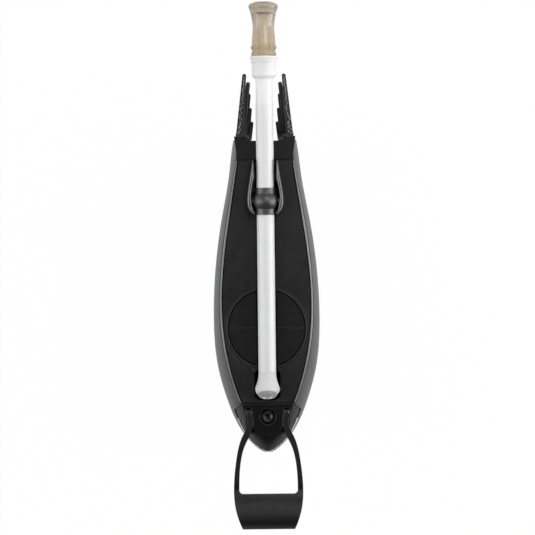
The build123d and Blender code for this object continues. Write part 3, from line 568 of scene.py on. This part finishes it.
# ---------------------------------------------------------------- operators
class RESERVOIR_OT_shell(bpy.types.Operator):
    """Hull, its rim bead and the rubber foot under it"""
    bl_idname = "reservoir.shell"
    bl_label = "Shell"

    def execute(self, context):
        colours, sizes, _ = settings()
        satin = finish("satin_shell", colours.shell, 0.33, vary=0.18, rough_vary=0.03,
                       grain=2600, bump=0.000004, streaks=(1500, 10), streak=0.22,
                       edge=sizes.round_edge, edge_gain=1.6,
                       constants=[("Specular IOR Level", 0.38)])
        # the rim bead's colour is the shell's made five times paler, a painted highlight
        lip = finish("rim_bead_painted_highlight", [c * 5 for c in colours.shell], 0.38, vary=0.12,
                     grain=2600, bump=0.000003, streaks=(1500, 10), streak=0.15, edge=0)
        skin("reservoir_shell", satin, 24)
        self.rim_beads(sizes, lip)
        # the nose rim is the shell's colour made twenty times paler, a painted highlight
        nose_rim_highlight = finish("nose_rim_painted_highlight", [c * 20 for c in colours.shell], 0.36, vary=0.1, streak=0.1,
                        bump=0, edge=0)
        self.nose_rim(sizes, nose_rim_highlight)
        rubber = finish("foot_rubber", colours.strap, 0.62, grain=900, bump=0.00005,
                        streak=0.1, edge_gain=1.6)
        skin("base_pad", rubber)
        return {"FINISHED"}

    def rim_beads(self, sizes, material):
        """A rounded bead along the rim, on each side of the lid, painted pale as a highlight."""
        rear_gap, front_gap, steps, peak = 0.0006, 0.004, 80, 0.3
        low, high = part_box("lid_cover")
        land = flat_edges("reservoir_shell", high.z)
        for side, word in ((-1, "left"), (1, "right")):
            stations = []
            for y in evenly(low.y + rear_gap, high.y - front_gap, steps):
                across = spans(land, Vector((0, y)))
                inner = across[0]
                outer = inner + (across[-1] - inner) * sizes.bead_share
                stations.append((Vector((side * inner, y, high.z)),
                                 Vector((side * outer, y, high.z)), 1))
            strip = bead(f"rim_bead_{word}", stations, sizes.bead_rise, peak)
            dress(strip, material, "body")

    def nose_rim(self, sizes, material):
        """The thin rim that the shell shows round the nose cap, painted bright as a highlight."""
        forward, start_angle, end_angle, steps = 0.026, -168, -12, 96
        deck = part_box("nose_cap")[0].z
        ledge = flat_edges("reservoir_shell", deck)
        centre = Vector((0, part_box("nose_cap")[0].y + forward))
        start = Vector((*centre, deck))
        stations = []
        for degrees in evenly(start_angle, end_angle, steps):
            angle = math.radians(degrees)
            ray = Vector((math.cos(angle), math.sin(angle), 0))
            outer = spans(ledge, centre, angle)[-1]
            stations.append((start + ray * (outer - sizes.nose_rim), start + ray * outer, 1))
        dress(bead("nose_rim", stations, sizes.nose_rim), material, "body")


class RESERVOIR_OT_lid(bpy.types.Operator):
    """Lid with its gasket, the port's frame, lip and folding flaps"""
    bl_idname = "reservoir.lid"
    bl_label = "Lid and port"

    def execute(self, context):
        colours, sizes, _ = settings()
        grained = finish("grained_lid", colours.lid, 0.49, vary=0.75, rough_vary=0.17,
                         grain=1500, bump=0.00012, streaks=(700, 30), streak=0.15,
                         edge=0.00018, edge_gain=2.0, constants=[("Specular IOR Level", 0.26)])
        flaps = finish("grained_flaps", [c * 0.6 for c in colours.lid], 0.52, vary=0.75,
                       rough_vary=0.16, grain=1500, bump=0.00009, streak=0.15, edge=0.00015,
                       edge_gain=1.3, constants=[("Specular IOR Level", 0.20)])
        skin("lid_cover", grained)
        skin("port_frame", flaps)
        for number in range(1, 5):
            skin(f"port_flap_{number}", flaps)
        # this near-black, almost unreflecting rubber is the gasket's, and also the painted shadow
        # in the port's gap
        seal = finish("seal_rubber_and_gap_shadow", [c * 0.1 for c in colours.seal], 0.7, bump=0.00001, streak=0,
                      constants=[("Specular IOR Level", 0.05)])
        skin("lid_gasket", seal)
        # the lip round the port and the slit's edges are painted paler than the lid, as highlights
        bright = finish("lip_painted_highlight", [c * 1.7 for c in colours.lid], 0.45, vary=0.4, bump=0, edge=0)
        low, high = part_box("port_frame")
        centre = (low + high) / 2
        radius = (high.x - low.x) / 2
        slot_angle = 0.262
        tree = lip_tree()
        # rings on the port's frame, each with its inset from the frame's edge, width and rise
        for name, inset, width, rise, material in (
                ("port_lip", 0.0010, sizes.lip_width, sizes.lip_rise, bright),
                ("port_blend", 0.0008, 0.0025, 0.00005, grained),
                # the last ring is a near-black strip laid over the gap round the flaps, a painted
                # shadow
                ("port_gap_shadow", 0.0018, 0.0008, 0.00010, seal)):
            lip = grown(name, tree, {
                "Centre": (centre.x, centre.y, high.z), "Radius": radius - inset,
                "Width": width, "Rise": rise, "Gap": slot_angle, "Material": material})
            lip.data.shade_smooth()
            dress(lip, material, "body")
        for number in range(1, 5):
            self.slit_edges(number, centre.y, radius, bright)
        return {"FINISHED"}

    def slit_edges(self, number, middle, radius, material):
        """Faint raised edges along the slit, on a flap and on the frame's fixed side, with a
        painted highlight.
        """
        end_gap, frame_gap, start, width = 0.0004, 0.0026, 0.0001, 0.0004
        rise, sink = 0.00012, 0.0001
        flap = f"port_flap_{number}"
        low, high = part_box(flap)
        edge, into = (low.y, 1) if low.y > middle else (high.y, -1)
        hinge = max(abs(low.x), abs(high.x))
        fixed = sorted(math.copysign(x, low.x) for x in (hinge + end_gap, radius - frame_gap))
        for name, reach, node in (("slit", (low.x + end_gap, high.x - end_gap), flap),
                                  ("slit_end", fixed, "port_frame")):
            near, far = edge + into * start, edge + into * (start + width)
            stations = [(Vector((x, near, high.z)), Vector((x, far, high.z)), 1) for x in reach]
            dress(bead(f"{name}_edge_{number}", stations, rise, sink=sink), material,
                  BODY_OF[node])


class RESERVOIR_OT_cradle(bpy.types.Operator):
    """Ball cradle, swivel ball, seal ring and screws"""
    bl_idname = "reservoir.cradle"
    bl_label = "Cradle and ball"

    def execute(self, context):
        colours, sizes, _ = settings()
        # the ball's edges, at the ends of its collars, are painted near black as shade
        gloss = finish("gloss_ball", [c * 0.6 for c in colours.ball], 0.44, vary=0.12,
                       rough_vary=0.02, grain=1500, bump=0, streak=0.1, edge=0.0005,
                       tint=(0.003, 0.003, 0.003), constants=[("Specular IOR Level", 0.9)])
        cradle = finish("satin_cradle", [colours.ball[0] * 2] * 3, 0.38, vary=0.2,
                        rough_vary=0.04, grain=2000, bump=0.000003, streak=0.1,
                        edge=sizes.round_edge, edge_gain=1.5)
        skin("ball_cradle", cradle)
        # the ridges are painted fifteen times paler than the ball's grey, as highlights along the
        # walls' edges
        ridge_highlight = finish("ridge_painted_highlight", [colours.ball[1] * 15] * 3, 0.36, vary=0.15, streak=0.1,
                        bump=0, edge=0)
        self.ridges(sizes, ridge_highlight)
        skin("swivel_ball", gloss)
        skin("ball_seal_ring", finish("ring_rubber", colours.seal, 0.5, streak=0))
        steel = finish("plain_steel", colours.steel, 0.36, vary=0.1, streak=0.2,
                       bump=0.000003, constants=[("Metallic", 1.0)])
        skin("cradle_screws", steel)
        return {"FINISHED"}

    def ridges(self, sizes, material):
        """Two ridges on top of each of the cradle's walls, which fade out at the front."""
        rear_gap, front_gap, steps, rise_share = 0.008, 0.0006, 60, 0.6
        rear_fade, front_fade = 8, 14  # in steps; a ridge starts half grown at the rear
        low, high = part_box("ball_cradle")
        walls = flat_edges("ball_cradle", high.z)
        for side, word in ((-1, "left"), (1, "right")):
            for which, line, inward in ((0, "inner", 1), (-1, "outer", -1)):
                stations = []
                for k, y in enumerate(evenly(low.y + rear_gap, high.y - front_gap, steps)):
                    start = spans(walls, Vector((0, y)))[which]
                    share = min(1, 0.5 + k / rear_fade, (steps - k) / front_fade)
                    end = start + sizes.ridge * share * inward
                    pair = [Vector((side * x, y, high.z)) for x in (start, end)]
                    stations.append((*pair, share))
                strip = bead(f"cradle_ridge_{line}_{word}", stations, sizes.ridge * rise_share)
                dress(strip, material, "body")


class RESERVOIR_OT_straw(bpy.types.Operator):
    """Straw, its foot, the frosted adapter and the bite valve"""
    bl_idname = "reservoir.straw"
    bl_label = "Straw and valve"

    def execute(self, context):
        colours, sizes, _ = settings()
        milky = finish("milky_tube", colours.straw, 0.36, vary=0.02, rough_vary=0.03,
                       grain=500, bump=0, streaks=(1200, 6), streak=0.04, edge=0,
                       constants=[("Transmission Weight", 0.34), ("IOR", 1.47)])
        soft = finish("soft_foot", colours.straw, 0.40, vary=0.02, grain=700,
                      bump=0, streak=0.03, edge=0,
                      constants=[("Transmission Weight", 0.45), ("IOR", 1.43)])
        frosted = finish("frosted_adapter", colours.adapter, 0.36, vary=0.01, rough_vary=0.03,
                         grain=900, bump=0, streak=0.02, edge=0,
                         constants=[("Transmission Weight", 0.30), ("IOR", 1.30)])
        # the valve is warmer over its root and darker at its lip, where y is highest
        low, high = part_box("bite_valve")
        base = tuple(min(1, c * 1.07) for c in colours.valve)
        warm = (min(1, base[0] * 1.12), base[1] * 1.04, base[2] * 0.92)
        stops = ((0.0328, warm), (0.0268, warm), (0.0213, base), (0.0083, base))
        amber = finish("amber_valve", base, 0.22, vary=0.04, rough_vary=0.02, grain=700, bump=0,
                       streaks=(1400, 16), streak=0.08, edge=0,
                       by_y=[(low.y, base), *((high.y - down, shade) for down, shade in stops),
                             (high.y, [c * 0.85 for c in base])],
                       constants=[("Transmission Weight", 0.85), ("IOR", 1.41)])
        smoke_colour, density = (0.64, 0.53, 0.39, 1), 165.0
        smoke = put(amber.node_tree, "ShaderNodeVolumeAbsorption",
                    [("Color", smoke_colour), ("Density", density)])
        amber.node_tree.links.new(
            smoke.outputs[0], amber.node_tree.nodes["Material Output"].inputs["Volume"])
        skin("straw_tube", milky)
        skin("straw_foot", soft)
        skin("valve_adapter", frosted)
        skin("adapter_o_ring", finish("o_ring_rubber", colours.seal, 0.45, streak=0))
        skin("bite_valve", amber)
        # the moulding lines are painted darker than the adapter and the valve, as shade
        shaded = finish("adapter_line_painted_shade", [c * 0.66 for c in colours.adapter], 0.42, vary=0.05,
                        streak=0.02, bump=0, edge=0)
        valve_line_shade = finish("valve_line_painted_shade", [0.30, 0.27, 0.22], 0.42, vary=0.1, streak=0.05, bump=0,
                       edge=0)
        # moulding lines, each with its distance below the piece's end and its radius
        lines = (
            ("adapter", "valve_adapter", shaded,
             ((0.0125, 0.0079), (0.0041, 0.0083), (0.0018, 0.0086))),
            ("valve", "bite_valve", valve_line_shade,
             ((0.0323, 0.0077), (0.0282, 0.0079), (0.0026, 0.00945), (0.0012, 0.0088))))
        low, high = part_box("straw_tube")
        axis_height = (low.z + high.z) / 2
        tree = ring_tree()
        for slot, node, material, rings in lines:
            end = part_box(node)[1].y
            for number, (down, radius) in enumerate(rings, 1):
                ring = grown(f"{slot}_line_{number}", tree, {
                    "Centre": (0, end - down, axis_height), "Radius": radius,
                    "Thickness": sizes.mould_line, "Material": material})
                ring.data.shade_smooth()
                dress(ring, material, BODY_OF[node])
        return {"FINISHED"}


class RESERVOIR_OT_tail(bpy.types.Operator):
    """End collar and the two fin combs with their pips"""
    bl_idname = "reservoir.tail"
    bl_label = "Collar and fins"

    def execute(self, context):
        colours, sizes, _ = settings()
        # the collar's edges are painted darker than its face, as shade
        matt = finish("matt_collar", colours.collar, 0.48, vary=0.5, grain=1700,
                      bump=0.00005, streak=0.08, edge=0.0002, tint=(0.001, 0.001, 0.001),
                      constants=[("Specular IOR Level", 0.22)])
        # the fins' edges take a paler tint, a painted highlight that draws the lower fins as grey
        # lines
        rubber = finish("fin_rubber", [c * 0.5 for c in colours.fin], 0.42, vary=0.4, grain=1300,
                        bump=0.00003, streaks=(600, 40), streak=0.3, edge=0.0003,
                        tint=(0.03, 0.03, 0.03))
        # the pips are painted far paler than the fin's rubber, as glints
        pips = finish("pip_painted_glint", [c * 40 for c in colours.fin], 0.36, vary=0.5, streak=0.1,
                      bump=0, edge=0)
        skin("end_collar", matt)
        # the pips start beside the collar and end at the fin's tip, which leans inwards
        edge_gap, collar_gap, tip_gap, tip_lean = 0.0022, 0.0018, 0.0022, 0.0061
        start_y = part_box("end_collar")[1].y + collar_gap
        tree = pip_tree()
        for side, word in ((-1, "left"), (1, "right")):
            node = f"{word}_fin_comb"
            skin(node, rubber)
            low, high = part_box(node)
            outer = max(abs(low.x), abs(high.x))
            row = grown(f"{word}_fin_pips", tree, {
                "Start": (side * (outer - edge_gap), start_y, high.z),
                "End": (side * (outer - tip_lean), high.y - tip_gap, high.z),
                "Count": sizes.pip_count, "Spread Start": 0.0011, "Spread End": 0.0004,
                "Radius": sizes.pip_radius, "Rise": sizes.pip_rise, "Seed": 3 + side,
                "Material": pips})
            dress(row, pips, BODY_OF[node])
        return {"FINISHED"}


class RESERVOIR_OT_nose(bpy.types.Operator):
    """Nose cap, its screw, washer and insert"""
    bl_idname = "reservoir.nose"
    bl_label = "Nose cap"

    def execute(self, context):
        colours, _, _ = settings()
        # the cap's edges take a pale tint: a painted highlight along its seam, round the screw's
        # recess and along the strap's channels
        gloss = finish("gloss_cap", colours.cap, 0.34, vary=0.2, rough_vary=0.04, grain=1800,
                       bump=0, streak=0.1, edge=0.0006, tint=(0.09, 0.09, 0.09),
                       constants=[("Specular IOR Level", 0.32)])
        black = finish("black_steel", colours.dark_steel, 0.36, vary=0.3, bump=0.000006,
                       streak=0.2, edge=0.00025, edge_gain=4.0, constants=[("Metallic", 0.6)])
        skin("nose_cap", gloss, 12)
        skin("cap_screw", black)
        skin("cap_screw_washer", black)
        skin("cap_insert", finish("turned_brass", colours.brass, 0.3, streak=0.2,
                                  bump=0.000004, constants=[("Metallic", 1.0)]))
        return {"FINISHED"}


class RESERVOIR_OT_strap(bpy.types.Operator):
    """Pull strap and the pins it swings on"""
    bl_idname = "reservoir.strap"
    bl_label = "Pull strap"

    def execute(self, context):
        colours, _, _ = settings()
        dark, plain, grip_highlight = ([c * share for c in colours.strap] for share in (0.12, 0.9, 3.3))
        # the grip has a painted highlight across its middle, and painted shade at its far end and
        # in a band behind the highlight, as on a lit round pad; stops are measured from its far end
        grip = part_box("pull_strap")[0].y
        stops = ((0, dark), (0.004, dark), (0.011, grip_highlight), (0.0155, grip_highlight), (0.022, dark),
                 (0.027, dark), (0.034, plain), (0.078, plain))
        rubber = finish("strap_rubber", colours.strap, 0.40, vary=0.3, grain=1500, bump=0.00003,
                        streaks=(1100, 12), streak=0.12, edge=0.0006, edge_gain=2.6,
                        by_y=[(grip + up, shade) for up, shade in stops],
                        constants=[("Specular IOR Level", 0.36)])
        skin("pull_strap", rubber)
        skin("strap_pins", finish("pin_steel", colours.steel, 0.28, streak=0.2,
                                  bump=0.000003, constants=[("Metallic", 1.0)]))
        return {"FINISHED"}


class RESERVOIR_OT_stage(bpy.types.Operator):
    """Floor, world, lamps and the camera straight above"""
    bl_idname = "reservoir.stage"
    bl_label = "Stage"

    def execute(self, context):
        _, _, stage = settings()
        scene = context.scene
        scene.view_settings.view_transform = "Standard"
        self.floor()
        self.world(scene, stage)
        # each lamp's name, place, power and size
        self.lamp("key_lamp", (0.12, 0.22, 0.50), stage.key, (0.2, 0.2))
        self.lamp("left_strip", (-1.25, 0.0, 1.0), stage.strips * stage.left_share, (0.6, 1.6))
        self.lamp("right_strip", (1.25, 0.0, 0.45), stage.strips, (0.4, 1.6))
        data = bpy.data.cameras.new("camera")
        data.sensor_width = 36.0
        data.lens = data.sensor_width * stage.distance / stage.frame_width
        data.clip_end = 20.0
        camera = bpy.data.objects.new("camera", data)
        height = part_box("lid_cover")[1].z + stage.distance
        camera.location = (stage.centre_x, stage.centre_y, height)
        camera.rotation_euler = (0, 0, stage.roll)
        scene.collection.objects.link(camera)
        scene.camera = camera
        return {"FINISHED"}

    def floor(self):
        """A pale floor, white where it is seen, with a light table under the clear pieces."""
        drop, reach, matt, whiteness, mirrored_share = 0.0002, 3.0, 0.9, 0.985, 0.3
        table_edge, table_end = 0.17, 0.26
        pale, dim = (0.86, 0.86, 0.86, 1), (0.12, 0.12, 0.12, 1)
        work = bmesh.new()
        bmesh.ops.create_grid(work, x_segments=8, y_segments=8, size=reach)
        mesh = bpy.data.meshes.new("floor")
        work.to_mesh(mesh)
        work.free()
        obj = new_piece("floor", mesh)
        obj.location.z = -drop
        material = bpy.data.materials.new("pale_floor")
        material.use_nodes = True
        tree = material.node_tree
        shader = tree.nodes["Principled BSDF"]
        shader.inputs["Roughness"].default_value = matt
        path = put(tree, "ShaderNodeLightPath")
        refracted = path.outputs["Is Transmission Ray"]
        mirrored = put(tree, "ShaderNodeMath",
                       [(0, path.outputs["Is Glossy Ray"]), (1, mirrored_share)],
                       operation="MULTIPLY")
        seen = put(tree, "ShaderNodeMath",
                   [(0, path.outputs["Is Camera Ray"]), (1, mirrored.outputs[0])],
                   operation="ADD", use_clamp=True)
        away = put(tree, "ShaderNodeVectorMath",
                   [(0, put(tree, "ShaderNodeTexCoord").outputs["Object"])], operation="LENGTH")
        table = put(tree, "ShaderNodeMapRange",
                    [("Value", away.outputs["Value"]), ("From Min", table_edge),
                     ("From Max", table_end), ("To Min", 1.0), ("To Max", 0.0)],
                    interpolation_type="SMOOTHSTEP")
        through = put(tree, "ShaderNodeMath", [(0, refracted), (1, table.outputs[0])],
                      operation="MULTIPLY")
        # seen through clear pieces, the floor beyond the light table is dim
        tree.links.new(tinted(tree, refracted, pale, dim), shader.inputs["Base Color"])
        seen = put(tree, "ShaderNodeMath", [(0, seen.outputs[0]), (1, through.outputs[0])],
                   operation="ADD", use_clamp=True)
        share = put(tree, "ShaderNodeMath", [(0, seen.outputs[0]), (1, whiteness)],
                    operation="MULTIPLY")
        white = put(tree, "ShaderNodeEmission", [("Color", (1, 1, 1, 1)), ("Strength", 1.0)])
        mix = put(tree, "ShaderNodeMixShader",
                  [(0, share.outputs[0]), (1, shader.outputs[0]), (2, white.outputs[0])])
        tree.links.new(mix.outputs[0], tree.nodes["Material Output"].inputs["Surface"])
        mesh.materials.append(material)

    def world(self, scene, stage):
        """A soft studio, bright to the sides and dim overhead, in front of a white backdrop."""
        world = bpy.data.worlds.new("studio")
        world.use_nodes = True
        tree = world.node_tree
        sky = tree.nodes["Background"]
        sky.inputs["Color"].default_value = (1, 1, 1, 1)
        parts = put(tree, "ShaderNodeSeparateXYZ",
                    [(0, put(tree, "ShaderNodeTexCoord").outputs["Generated"])])
        aside = put(tree, "ShaderNodeMath", [(0, parts.outputs["X"])], operation="ABSOLUTE")
        level = stage.horizon - stage.zenith
        for socket, start, end, low, high in (
                (parts.outputs["Z"], 0.35, 0.85, 1.0, 0.0),
                (aside.outputs[0], 0.15, 0.7, 0.35, 1.0),
                (parts.outputs["Y"], -0.6, 0.2, 0.1, 1.0)):
            part = put(tree, "ShaderNodeMapRange",
                       [("Value", socket), ("From Min", start), ("From Max", end),
                        ("To Min", low), ("To Max", high)], interpolation_type="SMOOTHSTEP")
            level = put(tree, "ShaderNodeMath", [(0, level), (1, part.outputs[0])],
                        operation="MULTIPLY").outputs[0]
        level = put(tree, "ShaderNodeMath", [(0, level), (1, stage.zenith)], operation="ADD")
        tree.links.new(level.outputs[0], sky.inputs["Strength"])
        white = put(tree, "ShaderNodeBackground", [("Color", (1, 1, 1, 1)), ("Strength", 1.0)])
        path = put(tree, "ShaderNodeLightPath")
        mix = put(tree, "ShaderNodeMixShader",
                  [(0, path.outputs["Is Camera Ray"]), (1, sky.outputs[0]), (2, white.outputs[0])])
        tree.links.new(mix.outputs[0], tree.nodes["World Output"].inputs["Surface"])
        scene.world = world

    def lamp(self, name, place, power, size):
        """A soft lamp that points at the middle of the reservoir."""
        target = Vector((0, 0, 0.05))
        data = bpy.data.lights.new(name, "AREA")
        data.shape = "RECTANGLE"
        data.size, data.size_y = size
        data.energy = power
        obj = bpy.data.objects.new(name, data)
        obj.location = place
        obj.rotation_euler = (target - Vector(place)).to_track_quat("-Z", "Y").to_euler()
        obj.visible_camera = False
        bpy.context.scene.collection.objects.link(obj)


class RESERVOIR_PT_panel(bpy.types.Panel):
    """Lists the colours, the sizes, the stage and a button for each group of pieces"""
    bl_label = "Drinks reservoir"
    bl_idname = "RESERVOIR_PT_panel"
    bl_space_type = "VIEW_3D"
    bl_region_type = "UI"
    bl_category = "Reservoir"

    def draw(self, context):
        for group in settings():
            for key in group.__annotations__:
                self.layout.prop(group, key)
        for operator in OPERATORS:
            self.layout.operator(operator.bl_idname)


GROUPS_OF_SETTINGS = (ReservoirColours, ReservoirSizes, ReservoirStage)
OPERATORS = (RESERVOIR_OT_shell, RESERVOIR_OT_lid, RESERVOIR_OT_cradle, RESERVOIR_OT_straw,
             RESERVOIR_OT_tail, RESERVOIR_OT_nose, RESERVOIR_OT_strap, RESERVOIR_OT_stage)
CLASSES = GROUPS_OF_SETTINGS + OPERATORS + (RESERVOIR_PT_panel,)


def register():
    for cls in CLASSES:
        bpy.utils.register_class(cls)
    bpy.types.Scene.reservoir_colours = PointerProperty(type=ReservoirColours)
    bpy.types.Scene.reservoir_sizes = PointerProperty(type=ReservoirSizes)
    bpy.types.Scene.reservoir_stage = PointerProperty(type=ReservoirStage)


def unregister():
    del bpy.types.Scene.reservoir_stage
    del bpy.types.Scene.reservoir_sizes
    del bpy.types.Scene.reservoir_colours
    for cls in reversed(CLASSES):
        bpy.utils.unregister_class(cls)


def main():
    register()
    for operator in OPERATORS:
        name = operator.bl_idname.split(".")[1]
        getattr(bpy.ops.reservoir, name)()


if __name__ == "__main__":
    main()
